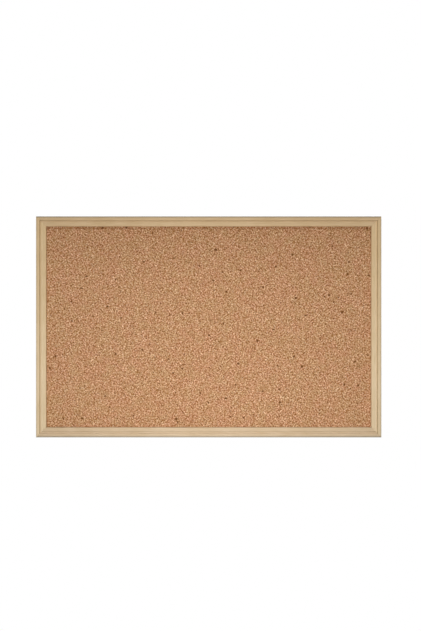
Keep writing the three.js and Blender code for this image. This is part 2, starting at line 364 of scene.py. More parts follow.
# Middle in from the outer edge, reach to either side and reach behind the front in mm, then share and tone
PAINTED_LIGHT_BANDS = {
    "top": [(6.7, 1.1, 2, 0.6, SHADOW_BROWN), (0, 4, 4, 0.75, EDGE_SHADE_GREY), (16, 0.8, 2, 0.9, SHADOW_BROWN)],
    "bottom": [(9.0, 1.1, 2, 0.6, SHADOW_BROWN), (0, 4, 4, 0.85, EDGE_SHADE_GREY)],
    "left": [(6.1, 1.1, 2, 0.75, SHADOW_BROWN), (0, 4, 4, 0.2, EDGE_SHADE_GREY), (8.9, 1.8, 2, 0.6, HIGHLIGHT_PALE)],
    "right": [(6.1, 1.1, 2, 0.75, SHADOW_BROWN), (0, 4, 4, 0.4, EDGE_SHADE_GREY), (8.9, 1.8, 2, 0.5, HIGHLIGHT_PALE)],
}


def with_painted_light(add, colour, side, depth):
    """The colour of a rail with its bands of painted shade and painted highlight, which fade to both sides
    and behind the front.
    """
    inset = add("Attribute", attribute_name="inset").outputs["Fac"]
    for middle, reach, behind, share, tone in PAINTED_LIGHT_BANDS[side]:
        away = add("Math", {0: inset, 1: middle}, operation="SUBTRACT")
        away = add("Math", {0: away}, operation="ABSOLUTE")
        end = board_front + behind * MM
        across = {"Value": away, "From Max": reach, "To Min": share, "To Max": 0.0}
        inwards = {"Value": depth, "From Min": board_front, "From Max": end, "To Min": 1.0, "To Max": 0.0}
        amount = {0: add("MapRange", across, **SMOOTH), 1: add("MapRange", inwards, **SMOOTH)}
        amount = add("Math", amount, operation="MULTIPLY")
        colour = add("Mix", {0: amount, MIX_A: colour, MIX_B: linear(tone)}, **BLEND)
    return colour


# Each side's bands are painted shade and painted highlight
print("bands of wear:", {side: len(bands) for side, bands in PAINTED_LIGHT_BANDS.items()})


# %% Wood material
def sanded_pine(side, turn, shift):
    """Softwood, its grain along a rail. turn is the rail's turn about Y, shift its place in the plank."""
    material, add, shader, place = start_material(f"sanded_pine_{side}", IOR=1.45)
    along = add("Mapping", {"Vector": place, "Rotation": (0, -turn, 0), "Location": shift})
    fibres = add("VectorMath", {0: along, 1: (GRAIN_STRETCH_SHARE, 1, 1)}, operation="MULTIPLY")
    bent = pushed_about(add, along, WANDER_LENGTH, RING_WANDER, 2.0)
    rings = add("TexWave", {"Vector": bent, "Scale": RING_SCALE}, wave_type="RINGS", rings_direction="X")
    streaks = add("TexNoise", {"Vector": fibres, "Scale": 1 / STREAK_WIDTH, "Detail": 3.0})
    pores = add("TexNoise", {"Vector": fibres, "Scale": 1 / PORE_WIDTH, "Detail": 1.0})
    patches = add("TexNoise", {"Vector": along, "Scale": 1 / PATCH_SIZE, "Detail": 2.0})

    late = add("Math", {0: rings.outputs["Fac"], 1: LATE_WOOD_POWER}, operation="POWER")
    late = add("Math", {0: late, 1: LATE_WOOD_TONE, 2: BASE_TONE}, operation="MULTIPLY_ADD")
    spread = add("MapRange", {"Value": streaks, **NOISE_SPAN, "To Max": STREAK_TONE})
    tone = add("Math", {0: late, 1: spread}, operation="ADD")
    slow = add("MapRange", {"Value": patches, **NOISE_SPAN, **PATCH_TONES})
    tone = add("Math", {0: tone, 1: slow}, operation="ADD", use_clamp=True)
    colour = add("Mix", {0: tone, MIX_A: WOOD_PALE, MIX_B: WOOD_DARK}, **BLEND)
    pits = add("MapRange", {"Value": pores, **PORE_SPAN, "To Max": PORE_SHARE})
    colour = add("Mix", {0: pits, MIX_A: colour, MIX_B: PORE_BROWN}, **BLEND)

    axes = add("SeparateXYZ", {0: place}).outputs
    # Bands of painted shade and painted highlight across the rail
    colour = with_painted_light(add, colour, side, axes["Y"])
    # Painted shade that darkens the rails towards the top, then each plank's own tint
    top_shade = add("MapRange", {"Value": axes["Z"], "From Min": board_bottom, "From Max": board_top})
    top_shade = add("Mix", {0: top_shade, MIX_A: WHITE, MIX_B: TOP_SHADE_TINT}, **BLEND)
    for tint in (top_shade, linear(PLANK_TINTS[side])):
        colour = add("Mix", {0: 1.0, MIX_A: colour, MIX_B: tint}, **TINT)

    rough = add("MapRange", {"Value": streaks, **NOISE_SPAN, **SATIN})
    height = add("Math", {0: streaks, 1: pits}, operation="SUBTRACT")
    bump = add("Bump", {"Strength": 0.5, "Distance": GRAIN_DEPTH, "Height": height})
    connect(shader, {"Base Color": colour, "Roughness": rough, "Normal": bump})
    return material


print("wood tones from", [round(c, 3) for c in WOOD_PALE], "to", [round(c, 3) for c in WOOD_DARK])

# %% [markdown]
# ## Pressed cork
#
# The sheet is ground bark, pressed with a binder and sanded flat. The eye gets granules of about 2 to 3 mm in
# many close browns, thin dark crevices between them, a few dark bits of outer bark and a few pale ones, and
# no shine at all. A Voronoi texture cuts space into cells as the granules share the sheet, and a noise makes
# their edges ragged. The same nodes serve twice: here for the colour, and later for the mesh's relief, so
# that each dark crevice is also a real dip. Smaller cells give the crumbs of about a millimetre that the
# granules are made of. Each crumb has one brown, which a noise gives at the crumb's middle, so that its edge
# is crisp and its neighbours differ. Under the top rail the cork gets a little painted shade, which fades out
# further down.

# %% The granule pattern
GRANULE = 3.0 * MM
CRUMB = 1.1 * MM
RAGGED = 0.6 * MM
RAGGED_SIZE = 1.4 * MM


def granules(add, place, size):
    """Splits the sheet into granules: (each one's random colour, the distance to its edge, its middle)."""
    inputs = {"Vector": pushed_about(add, place, RAGGED_SIZE, RAGGED, 1.0), "Scale": 1 / size}
    cells = add("TexVoronoi", inputs, feature="F1").outputs
    edges = add("TexVoronoi", inputs, feature="DISTANCE_TO_EDGE")
    return cells["Color"], edges, cells["Position"]


print(f"granules of {GRANULE / MM} mm and crumbs of {CRUMB / MM} mm")

# %% Cork values
# From the darkest brown to the palest one, red, green and blue come a little closer to each other
CORK_BROWNS = [(0, "#753d13"), (0.25, "#9d6637"), (0.5, "#c2916a"), (0.75, "#daaf8b"), (1, "#eec9aa")]
MOTTLE = 2.0 * MM
MOTTLE_TURN = math.radians(37)
MOTTLE_SPAN = {"From Min": 0.25, "From Max": 0.75}
CRUMB_SHARE = 0.2
# The sheet is a little greener in some places and redder in others
HUE_PATCH = 14 * MM
HUE_SPAN = {"From Min": 0.35, "From Max": 0.65}
GREENER = linear("#fafff6")
REDDER = linear("#fffaf9")
CREVICE_BROWN = linear("#6b3c14")
CREVICE_SHARE = 0.35
CREVICE_REACH_SHARE = 0.15
# Bark bits and pale bits: which cells they are, the channel of a cell's random colour, share and colour
SPECKS = [
    ("crumbs", 1, 0.025, "#5e3210"),
    ("crumbs", 2, 0.015, "#f4d4b0"),
    ("granules", 1, 0.004, "#70431f"),
]
# Painted shade below the top rail: how far down it reaches, and its tint
TOP_SHADE_REACH = 80 * MM
CORK_TOP_SHADE_TINT = linear("#f3f2f0")
# Each crumb is a low dome, which is flat from this share of its size inwards
DOME_REACH_SHARE = 0.25
DOME_HEIGHT = 0.15 * MM
print("cork browns:", [brown for _, brown in CORK_BROWNS])


# %% Cork material
def pressed_cork():
    """Sanded cork granules: matt, many close browns, dark crevices, bark specks."""
    material, add, shader, place = start_material("pressed_cork", Roughness=0.92, IOR=1.4)
    granule_colours, edge, _ = granules(add, place, GRANULE)
    crumb_colours, crumb_edge, middles = granules(add, place, CRUMB)
    whole = add("SeparateXYZ", {0: granule_colours}).outputs
    crumbs = add("SeparateXYZ", {0: crumb_colours}).outputs
    # A noise is most even, with no large blots, on the planes where its cells meet, and depth zero is such
    # a plane. It is turned there, so that its rows of cells don't run along the rails.
    level = add("VectorMath", {0: middles, 1: (1, 0, 1)}, operation="MULTIPLY")
    turned = add("Mapping", {"Vector": level, "Rotation": (0, MOTTLE_TURN, 0)})
    mottle = add("TexNoise", {"Vector": turned, "Scale": 1 / MOTTLE, "Detail": 0.0})
    mottle = add("MapRange", {"Value": mottle, **MOTTLE_SPAN})
    tone = add("Mix", {0: CRUMB_SHARE, VALUE_A: mottle, VALUE_B: crumbs[0]}, data_type="FLOAT")
    stops = [(share, linear(brown)) for share, brown in CORK_BROWNS]
    colour = add("ValToRGB", {0: tone}, stops=stops)

    hues = add("TexNoise", {"Vector": place, "Scale": 1 / HUE_PATCH, "Detail": 2.0})
    hues = add("MapRange", {"Value": hues, **HUE_SPAN})
    patch = add("Mix", {0: hues, MIX_A: GREENER, MIX_B: REDDER}, **BLEND)
    colour = add("Mix", {0: 1.0, MIX_A: colour, MIX_B: patch}, **TINT)
    crevice = {"Value": edge, "From Max": CREVICE_REACH_SHARE, "To Min": CREVICE_SHARE, "To Max": 0.0}
    crevice = add("MapRange", crevice)
    colour = add("Mix", {0: crevice, MIX_A: colour, MIX_B: CREVICE_BROWN}, **BLEND)
    for bits, channel, share, brown in SPECKS:
        random = (crumbs if bits == "crumbs" else whole)[channel]
        speck = add("Math", {0: random, 1: 1 - share}, operation="GREATER_THAN")
        colour = add("Mix", {0: speck, MIX_A: colour, MIX_B: linear(brown)}, **BLEND)
    # Painted shade: the cork darkens towards the top rail
    height_up = add("SeparateXYZ", {0: place}).outputs["Z"]
    shaded = {"Value": height_up, "From Min": cork_high.z - TOP_SHADE_REACH, "From Max": cork_high.z}
    shaded = add("MapRange", shaded)
    colour = add("Mix", {0: shaded, MIX_A: colour, MIX_B: CORK_TOP_SHADE_TINT}, **TINT)

    dome = add("MapRange", {"Value": crumb_edge, "From Max": DOME_REACH_SHARE})
    bump = add("Bump", {"Strength": 0.6, "Distance": DOME_HEIGHT, "Height": dome})
    connect(shader, {"Base Color": colour, "Normal": bump})
    return material


cork_finish = pressed_cork()
print("made", cork_finish.name)

# %% [markdown]
# ## Fibreboard and kraft sheet
#
# The core is soft fibreboard: felted brown wood fibre, dull and a little hairy. The back is closed with a
# sheet of brown kraft liner, smoother and paler, with long fibres in all directions and slow clouds where
# the sheet formed. Both are a colour with two kinds of noise: fine ones for fibres, and a slow one for
# clouds. Each fibre noise is turned first and then stretched, so that the fibres cross. A Mapping node does
# it in that order when its type is Texture.

# %% Fibre materials
# Real fibres are a tenth as wide. These are drawn as coarse as a close look needs.
FIBRE_WIDTH = 0.7 * MM
FIBRE_STRETCH = 5.0
FIBRE_TURNS = [math.radians(15), math.radians(80), math.radians(-40)]
FIBRE_SPAN = {"From Min": 0.38, "From Max": 0.62}
FIBRE_TONE = 0.7
CLOUD_SIZE = 22 * MM
CLOUD_TONE = 0.35


def felted_fibre(name, pale, dark, relief, roughness):
    """Wood fibre laid in all directions: stretched noises, crossed, over slow clouds."""
    material, add, shader, place = start_material(name, Roughness=roughness, IOR=1.45)
    total = 0.0
    for turn in FIBRE_TURNS:
        laid = {"Vector": place, "Rotation": (0, turn, 0), "Scale": (FIBRE_STRETCH, 1, 1)}
        laid = add("Mapping", laid, vector_type="TEXTURE")
        fibres = add("TexNoise", {"Vector": laid, "Scale": 1 / FIBRE_WIDTH, "Detail": 2.0})
        share = 1 / len(FIBRE_TURNS)
        total = add("Math", {0: fibres, 1: share, 2: total}, operation="MULTIPLY_ADD")
    clouds = add("TexNoise", {"Vector": place, "Scale": 1 / CLOUD_SIZE, "Detail": 3.0})
    tone = add("MapRange", {"Value": total, **FIBRE_SPAN, "To Max": FIBRE_TONE})
    slow = add("MapRange", {"Value": clouds, **NOISE_SPAN, "To Max": CLOUD_TONE})
    tone = add("Math", {0: tone, 1: slow}, operation="ADD", use_clamp=True)
    colour = add("Mix", {0: tone, MIX_A: linear(pale), MIX_B: linear(dark)}, **BLEND)
    bump = add("Bump", {"Strength": 0.5, "Distance": relief, "Height": total})
    connect(shader, {"Base Color": colour, "Normal": bump})
    return material


fibreboard_finish = felted_fibre("soft_fibreboard", "#a88460", "#8a6743", relief=0.15 * MM, roughness=0.9)
kraft_finish = felted_fibre("kraft_liner", "#c6a176", "#a17c54", relief=0.03 * MM, roughness=0.8)
print("made", fibreboard_finish.name, kraft_finish.name)

# %% [markdown]
# ## Zinc-plated steel
#
# The hanger parts, nails and points are stamped or drawn steel with bright zinc on them: a cool grey metal,
# half polished, faintly cloudy from the plating bath and a little worn from tumbling against its
# neighbours.

# %% Steel material
PLATING_CLOUD = 2.5 * MM
PLATING_SHEEN = {"To Min": 0.24, "To Max": 0.42}
TUMBLE_MARK = 0.25 * MM
TUMBLE_DEPTH = 0.02 * MM
ZINC_DULL = linear("#a3a6a8")
ZINC_BRIGHT = linear("#c9cbcc")


def zinc_plate():
    """Bright zinc on steel: a metal whose roughness changes from place to place."""
    material, add, shader, place = start_material("bright_zinc_plate", Metallic=1.0)
    clouds = add("TexNoise", {"Vector": place, "Scale": 1 / PLATING_CLOUD, "Detail": 3.0})
    marks = add("TexNoise", {"Vector": place, "Scale": 1 / TUMBLE_MARK, "Detail": 2.0})
    colour = add("Mix", {0: clouds, MIX_A: ZINC_DULL, MIX_B: ZINC_BRIGHT}, **BLEND)
    rough = add("MapRange", {"Value": clouds, **NOISE_SPAN, **PLATING_SHEEN})
    bump = add("Bump", {"Strength": 0.3, "Distance": TUMBLE_DEPTH, "Height": marks})
    connect(shader, {"Base Color": colour, "Roughness": rough, "Normal": bump})
    return material


steel_finish = zinc_plate()
print("made", steel_finish.name)

# %% [markdown]
# ## From a bmesh to a finished piece
#
# When a piece's shape is ready it becomes an object at the origin, with its place in its vertices. Curved
# faces are shaded smooth, and edges sharper than 35 degrees stay crisp.

# %% Finish a piece
CRISP_ANGLE = math.radians(35)
stands_for = {}


def shade(mesh):
    """Smooth shading that keeps real edges crisp."""
    mesh.shade_smooth()
    mesh.set_sharp_from_angle(angle=CRISP_ANGLE)


def place_piece(name, shape, material, body, slot, *nodes):
    """Makes the piece's object from its bmesh, in place of the named nodes."""
    bmesh.ops.recalc_face_normals(shape, faces=shape.faces)
    piece = new_object(name, shape)
    piece.data.materials.append(material)
    shade(piece.data)
    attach(piece, body)
    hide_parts(*nodes)
    stands_for[name] = nodes
    return piece


def face_counts(pieces):
    """How many faces each piece has."""
    return [len(piece.data.polygons) for piece in pieces]


print("edges crisp above", round(math.degrees(CRISP_ANGLE)), "degrees")

# %% [markdown]
# Two tools shape a piece after that. A boolean cuts a tool's shape out of it, or grows it on, and the
# result is kept as a plain mesh. A bevel rounds edges: no sawn, stamped or handled edge is as sharp as a
# drawn one.

# %% Cut and round
ROUND_STEPS = 6
SOFT_STEPS = 2


def applied(piece):
    """A piece's mesh as its modifiers leave it."""
    return bpy.data.meshes.new_from_object(piece.evaluated_get(bpy.context.evaluated_depsgraph_get()))


def cut(piece, tool_shape, operation="DIFFERENCE"):
    """Cuts the tool's shape out of a piece, or grows it on with UNION, and leaves no modifier behind."""
    bmesh.ops.recalc_face_normals(tool_shape, faces=tool_shape.faces)
    tool = new_object("tool", tool_shape)
    knife = piece.modifiers.new("cut", "BOOLEAN")
    knife.operation = operation
    knife.solver = "EXACT"
    knife.object = tool
    result = applied(piece)
    piece.modifiers.clear()
    piece.data = result
    shade(result)
    bpy.data.objects.remove(tool)


def round_edges(shape, edges, radius, steps=ROUND_STEPS, **limits):
    """Rounds edges to a radius."""
    bmesh.ops.bevel(
        shape, geom=edges, offset=radius, segments=steps, profile=0.5, affect="EDGES", material=-1, **limits
    )


def soften(shape, width, edges=None):
    """Rounds edges by a small width, as handling and tumbling do. Without a list, it is every crisp edge."""
    if edges is None:
        shape.normal_update()
        edges = [e for e in shape.edges if e.is_manifold and e.calc_face_angle() > CRISP_ANGLE]
    round_edges(shape, edges, width, SOFT_STEPS, clamp_overlap=True)


print("rounds have", ROUND_STEPS, "steps, softened edges", SOFT_STEPS)

# %% [markdown]
# ## The moulding
#
# A frame rail is a stick of moulding: one section, the same all along. On its front are a raised outer lip,
# a router's channel and a flat that is a little lower; behind is the step, or rebate, that takes the panel.
# So the section is drawn once as a face of a few corners, pulled out to length, and then each long edge
# gets its own round. The sticks are cut at 45 degrees with a plane, as on a mitre saw. A last tiny bevel
# round each sawn end leaves the fine line that shows at a real mitre.

# %% Moulding sizes
OUTER_LIP = 6.5 * MM
CHANNEL_WIDTH = 2.4 * MM
CHANNEL_DEPTH = 1.5 * MM
FLAT_DROP = 0.7 * MM
PANEL_CLEARANCE = 0.5 * MM
SEAT_GAP = 0.1 * MM
MITRE_GAP = 0.04 * MM
MITRE_SOFTENING = 0.12 * MM
OUTER_ROUND = 1.5 * MM
INNER_ROUND = 0.9 * MM
BACK_ROUND = 0.5 * MM
REBATE_ROUND = 0.3 * MM
LEDGE_ROUND = 0.2 * MM
CHANNEL_ROUND = 0.35 * MM

land_width = cork_low.x - board_left - PANEL_CLEARANCE
rebate_face = cork_low.y - SEAT_GAP
channel_end = OUTER_LIP + CHANNEL_WIDTH
channel_floor = board_front + CHANNEL_DEPTH
flat_front = board_front + FLAT_DROP

# Corners of the section: distance in from the outer edge, depth, and the radius of that long edge
MOULDING = [
    (0, 0, BACK_ROUND),
    (0, board_front, OUTER_ROUND),
    (OUTER_LIP, board_front, CHANNEL_ROUND),
    (OUTER_LIP, channel_floor, 0),
    (channel_end, channel_floor, 0),
    (channel_end, flat_front, CHANNEL_ROUND),
    (face_width, flat_front, INNER_ROUND),
    (face_width, rebate_face, LEDGE_ROUND),
    (land_width, rebate_face, 0),
    (land_width, 0, REBATE_ROUND),
]
print(f"land {land_width / MM:.1f} mm, rebate {-rebate_face / MM:.1f} mm deep")

# %% Make one stick of moulding
NEAR = 0.01 * MM


def only(kind, geometry):
    """The vertices, edges or faces among what an operator returned."""
    return [part for part in geometry if isinstance(part, kind)]


def moulding_stick(length):
    """A stick along X with its outer edge at z = 0, its wood below that, and both ends mitred."""
    stick = bmesh.new()
    end = stick.faces.new([stick.verts.new((-length / 2, depth, -inset)) for inset, depth, _ in MOULDING])
    pulled = bmesh.ops.extrude_face_region(stick, geom=[end])["geom"]
    bmesh.ops.translate(stick, verts=only(BMVert, pulled), vec=(length, 0, 0))
    bmesh.ops.recalc_face_normals(stick, faces=stick.faces)
    for inset, depth, radius in MOULDING:
        if radius:
            corner = [v for v in stick.verts if math.hypot(v.co.y - depth, v.co.z + inset) < NEAR]
            long_edges = [e for e in stick.edges if all(v in corner for v in e.verts)]
            round_edges(stick, long_edges, radius)
    for side in (-1, 1):
        ends = bmesh.ops.bisect_plane(
            stick,
            geom=[*stick.verts, *stick.edges, *stick.faces],
            plane_co=(side * (length / 2 - MITRE_GAP), 0, 0),
            plane_no=(side, 0, -1),
            clear_outer=True,
        )["geom_cut"]
        caps = bmesh.ops.holes_fill(stick, edges=only(BMEdge, ends))["faces"]
        soften(stick, MITRE_SOFTENING, list(caps[0].edges))
    inset = stick.verts.layers.float.new("inset")
    for v in stick.verts:
        v[inset] = -v.co.z / MM
    return stick


print("section corners:", len(MOULDING))

# %% [markdown]
# ## The four rails
#
# The same stick serves all four sides: it is turned about Y and moved to its edge of the board.

# %% Place the rails
QUARTER = math.radians(90)
# Turn about Y, middle of the outer edge, length, and place in the plank
RAILS = {
    "top": (0, (0, 0, board_top), board_width, (0, 30 * MM, 48 * MM)),
    "bottom": (2 * QUARTER, (0, 0, board_bottom), board_width, (400 * MM, 26 * MM, -52 * MM)),
    "left": (-QUARTER, (board_left, 0, board_middle), board_height, (900 * MM, 34 * MM, 44 * MM)),
    "right": (QUARTER, (board_right, 0, board_middle), board_height, (1300 * MM, 24 * MM, 50 * MM)),
}


def turn_and_move(shape, turn, axis, place):
    """Turns a shape about an axis through the origin, and then moves it to its place."""
    bmesh.ops.rotate(shape, verts=shape.verts, cent=(0, 0, 0), matrix=Matrix.Rotation(turn, 3, axis))
    move(shape, place)


rails = {}
for side, (turn, edge, length, plank_place) in RAILS.items():
    stick = moulding_stick(length)
    turn_and_move(stick, turn, "Y", edge)
    wood = sanded_pine(side, turn, plank_place)
    rails[side] = place_piece(f"pine_rail_{side}", stick, wood, "board", "frame_wood", f"frame_rail_{side}")
print("rails:", face_counts(rails.values()), "faces")

# %% [markdown]
# ## The cork sheet
#
# The front is a fine grid, close enough for the granules to be felt. A geometry nodes modifier reads the
# same granule pattern as the colour and lets the crevices sink and whole granules stand at slightly
# different heights. Then the grid's rim is pulled back to the sheet's thickness and closed behind.

# %% Sink the crevices
CREVICE_DEPTH = 0.16 * MM
CREVICE_SLOPE_SHARE = 0.3
GRANULE_STEP = 0.1 * MM


def sink_crevices(sheet):
    """Moves the sheet's vertices into the board where the granule pattern has crevices."""
    relief = bpy.data.node_groups.new("cork_relief", "GeometryNodeTree")
    for way in ("INPUT", "OUTPUT"):
        relief.interface.new_socket("Geometry", in_out=way, socket_type="NodeSocketGeometry")
    add = partial(add_node, relief)
    start = add("NodeGroupInput")
    place = add("GeometryNodeInputPosition").outputs[0]
    colours, edge, _ = granules(add, place, GRANULE)
    heights = add("SeparateXYZ", {0: colours})
    dip = {"Value": edge, "From Max": CREVICE_SLOPE_SHARE, "To Min": CREVICE_DEPTH, "To Max": 0.0}
    dip = add("MapRange", dip)
    step = add("Math", {0: heights, 1: GRANULE_STEP}, operation="MULTIPLY")
    inwards = add("Math", {0: dip, 1: step}, operation="ADD")
    offset = add("CombineXYZ", {"Y": inwards})
    moved = add("GeometryNodeSetPosition", {"Geometry": start, "Offset": offset})
    add("NodeGroupOutput", {0: moved})
    sheet.modifiers.new("relief", "NODES").node_group = relief


print(f"crevices sink {CREVICE_DEPTH / MM:.2f} mm")

# %% Make the cork sheet
GRID_PITCH = 1.37 * MM


def upright_grid(low, high, pitch):
    """A grid of squares of about the pitch, on the front face of the box between two corners."""
    width = high.x - low.x
    height = high.z - low.z
    grid = bmesh.new()
    bmesh.ops.create_grid(grid, x_segments=round(width / pitch), y_segments=round(height / pitch), size=0.5)
    bmesh.ops.scale(grid, verts=grid.verts, vec=(width, height, 1))
    turn_and_move(grid, QUARTER, "X", (0, low.y, (low.z + high.z) / 2))
    return grid


def cork_sheet():
    """The grid in front, sunk by its pattern, then closed round the rim and behind."""
    draft = new_object("flat_cork", upright_grid(cork_low, cork_high, GRID_PITCH))
    sink_crevices(draft)
    sheet = bmesh.new()
    sheet.from_mesh(applied(draft))
    bpy.data.objects.remove(draft)
    rim = bmesh.ops.extrude_edge_only(sheet, edges=[e for e in sheet.edges if e.is_boundary])["geom"]
    for v in only(BMVert, rim):
        v.co.y = cork_high.y
    bmesh.ops.holes_fill(sheet, edges=[e for e in sheet.edges if e.is_boundary])
    return place_piece("pressed_cork_sheet", sheet, cork_finish, "board", "cork", "cork_sheet")


cork = cork_sheet()
print("cork faces:", face_counts([cork]))

# %% [markdown]
# ## Core and backing
#
# The fibreboard core is a flat board, and its exact node already has the right shape, so it stays and only
# gets its finish. The backing is thin enough to follow the damp: a grid with slow, very shallow waves,
# given its thickness.

# %% Core and backing sheet
WAVE_SIZE = 70 * MM
WAVE_HEIGHT = 0.045 * MM
BACKING_PITCH = 7 * MM

core = frame["nodes"]["fibreboard_core"]
core.material_slots[0].material = fibreboard_finish


def kraft_sheet():
    """A thin sheet with slow waves."""
    low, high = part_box("backing_sheet")
    sheet = upright_grid(low, high, BACKING_PITCH)
    for v in sheet.verts:
        v.co.y += WAVE_HEIGHT * noise.noise(v.co / WAVE_SIZE)
    facing = sheet.faces[:][0].normal.y
    bmesh.ops.solidify(sheet, geom=sheet.faces, thickness=math.copysign(high.y - low.y, -facing))
    return place_piece("kraft_backing", sheet, kraft_finish, "board", "backing_paper", "backing_sheet")


backing = kraft_sheet()
print("core and backing:", face_counts([core, backing]), "faces")

# %% [markdown]
# ## Points and corner nails
#
# These are stamped from strip, and their exact nodes have the right outline. So each is a copy of its node:
# its loose triangles are merged, flat ones joined, and every edge rounded a little.

# %% Stamped pieces
STAMPED_EDGE = 0.08 * MM
WELD = 0.001 * MM
FLAT_ANGLE = math.radians(1)
# What the nodes are called, and what a framer calls them
STAMPED = {"panel_point": "framers_point", "corner_nail": "mitre_nail"}


def welded(mesh, distance=WELD):
    """A bmesh of a mesh, with corners that lie closer than a distance joined."""
    shape = bmesh.new()
    shape.from_mesh(mesh)
    bmesh.ops.remove_doubles(shape, verts=shape.verts, dist=distance)
    return shape


def merged_copy(node):
    """A bmesh of a node, with its loose triangles merged and the flat ones joined."""
    shape = welded(frame["nodes"][node].data)
    bmesh.ops.dissolve_limit(shape, angle_limit=FLAT_ANGLE, verts=shape.verts, edges=shape.edges)
    return shape


stamped = []
for node in sorted(frame["nodes"]):
    for prefix, trade_name in STAMPED.items():
        if node.startswith(prefix):
            shape = merged_copy(node)
            soften(shape, STAMPED_EDGE)
            name = node.replace(prefix, trade_name)
            stamped.append(place_piece(name, shape, steel_finish, "board", "zinc_steel", node))
print("stamped pieces:", len(stamped))

# %% [markdown]
# The nails sit a little below the wood, in the slits that they made. Each slit is the nail's own shape, a
# hair wider, cut out of the two rails that meet there. A cut leaves faces of many sides, and here and there
# two corners a few thousandths of a millimetre apart. Both make slivers when the mesh is split into
# triangles, so the corners are joined and the faces split evenly.

# %% Cut the nails' slits
SLIT_SIDE = 0.06 * MM
SLIVER = 0.01 * MM
# A face is a side of the nail, and not one of its ends, when its normal's depth is less than this
SIDE_LEAN = 0.5


def slit_cutter(node):
    """The nail's shape, grown sideways by a hair and pulled out behind the board."""
    shape = merged_copy(node)
    shape.normal_update()
    moves = {
        v: sum((f.normal for f in v.link_faces if abs(f.normal.y) < SIDE_LEAN), Vector()) for v in shape.verts
    }
    for v, normals in moves.items():
        v.co += normals.normalized() * SLIT_SIDE
        v.co.y = v.co.y if v.co.y < -MM else MM
    return shape


def even_out(piece):
    """Joins corners that nearly touch, and splits the faces of more than four sides into good triangles."""
    shape = welded(piece.data, SLIVER)
    many_sided = [f for f in shape.faces if len(f.verts) > 4]
    bmesh.ops.triangulate(shape, faces=many_sided, quad_method="BEAUTY", ngon_method="BEAUTY")
    shape.to_mesh(piece.data)
    shape.free()
    shade(piece.data)


for corner in ("top_left", "top_right", "bottom_left", "bottom_right"):
    for side in corner.split("_"):
        cut(rails[side], slit_cutter(f"corner_nail_{corner}"))
for rail in rails.values():
    even_out(rail)
print("rails after the slits:", face_counts(rails.values()), "faces")

# %% [markdown]
# ## Bending strip and wire
#
# The hanger's strap is a steel strip, folded over the ring's bar, and the ring is bent from wire. Both are
# made as a bender makes them: start with the end face, run it on straight, swing it round a centre, and run
# on again. Two short functions do that and return the new end face. The face that they started from now
# lies inside the metal, so it is taken out, unless it is the very first, which closes the start.


# %% Run on and bend
def take_out_inner(shape, face):
    """Takes out a face whose edges already have a face on either side."""
    if all(len(e.link_faces) > 2 for e in face.edges):
        bmesh.ops.delete(shape, geom=[face], context="FACES_ONLY")


def run_on(shape, end, way):
    """Runs the end face on in a straight line."""
    pulled = bmesh.ops.extrude_face_region(shape, geom=[end])["geom"]
    bmesh.ops.translate(shape, verts=only(BMVert, pulled), vec=way)
    take_out_inner(shape, end)
    return only(BMFace, pulled)[0]


def bend(shape, end, centre, axis, degrees, steps):
    """Swings the end face round a centre."""
    swung = bmesh.ops.spin(
        shape, geom=[end], cent=centre, axis=axis, dvec=(0, 0, 0), angle=math.radians(degrees), steps=steps
    )["geom_last"]
    take_out_inner(shape, end)
    return only(BMFace, swung)[0]


joints = {joint["name"]: joint for joint in frame["joints"]}
hinges = {side: Vector(joints[f"{side}_ring_swing"]["pos_m"]) for side in ("left", "right")}
print("hinge lines:", {side: [round(c / MM, 2) for c in place] for side, place in hinges.items()})

# %% [markdown]
# ## Hanger straps
#
# The strip lies on the wood, goes up and round the ring's bar, and folds back down on itself with a small
# reverse bend under the eye. Both leaves end round below the screw, which goes through them.

# %% The folded strip
WIRE = 0.75 * MM
RUNNING_GAP = 0.3 * MM
STRIP = 0.8 * MM
FOLD_GAP = 0.1 * MM
REVERSE_BEND = 0.9 * MM
STRIP_EDGE = 0.1 * MM
EYE_STEPS = 28
REVERSE_STEPS = 9
# The leaves' corners are rounded almost to the middle of the strip, so that their ends are half circles
LEAF_END_SHARE = 0.49
LEAF_END_STEPS = 10


def strap_shape(width, reach):
    """The folded strip with its hinge line at the origin. reach is how far the leaves go below it."""
    eye = WIRE + RUNNING_GAP + STRIP / 2
    leaf = STRIP + FOLD_GAP - eye
    centre_y = leaf + REVERSE_BEND
    centre_z = -math.sqrt((eye + REVERSE_BEND) ** 2 - centre_y**2)
    past = math.degrees(math.atan2(-centre_z, centre_y))
    strap = bmesh.new()
    corners = [(x * width / 2, y * STRIP / 2 - eye, -reach) for x, y in ((-1, -1), (1, -1), (1, 1), (-1, 1))]
    end = strap.faces.new([strap.verts.new(corner) for corner in corners])
    end = run_on(strap, end, (0, 0, reach))
    end = bend(strap, end, (0, 0, 0), (-1, 0, 0), 180 + past, EYE_STEPS)
    end = bend(strap, end, (0, centre_y, centre_z), (1, 0, 0), past, REVERSE_STEPS)
    run_on(strap, end, (0, 0, -reach - end.calc_center_median().z))
    bmesh.ops.recalc_face_normals(strap, faces=strap.faces)
    lowest = [e for e in strap.edges if all(v.co.z < NEAR - reach for v in e.verts)]
    across_strip = [e for e in lowest if abs(e.verts[0].co.x - e.verts[1].co.x) < NEAR]
    round_edges(strap, across_strip, width * LEAF_END_SHARE, LEAF_END_STEPS)
    soften(strap, STRIP_EDGE)
    return strap


print(f"strip {STRIP / MM} mm thick round wire of {2 * WIRE / MM} mm")

# %% Straps
SHANK_HOLE = 1.35 * MM
DRILL_LENGTH = 10 * MM
DRILL_SIDES = 32


